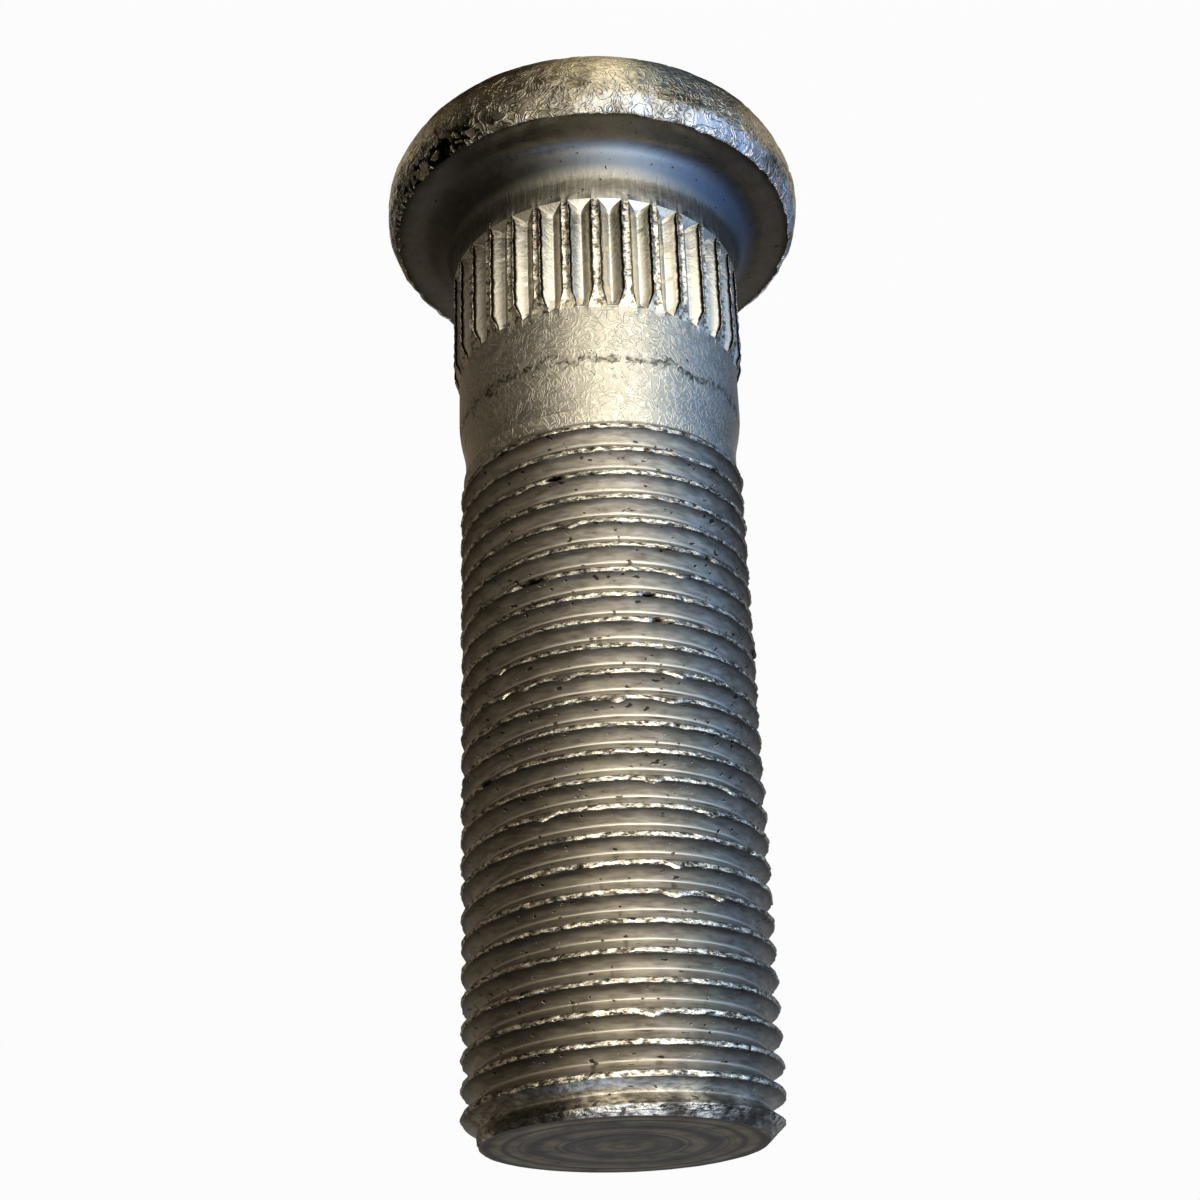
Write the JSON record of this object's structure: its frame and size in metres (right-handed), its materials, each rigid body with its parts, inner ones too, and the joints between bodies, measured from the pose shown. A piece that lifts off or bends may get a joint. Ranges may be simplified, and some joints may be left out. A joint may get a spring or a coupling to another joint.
{
  "type": "wheel stud",
  "caption": "Press-in wheel stud with a round forged head, a serrated collar, a plain pilot and a rolled right-hand thread for a wheel nut.",
  "frame": {"origin": "centre of the head's outer face, on the stud's axis", "axes": "+Z along the stud's axis from the head to the thread's tip; X and Y are free round the axis"},
  "size_m": [0.0246, 0.0246, 0.0587],
  "materials": {
    "forged_steel": "satin"
  },
  "bodies": {
    "root": {"wheel_stud": "forged_steel"}
  },
  "joints": []
}
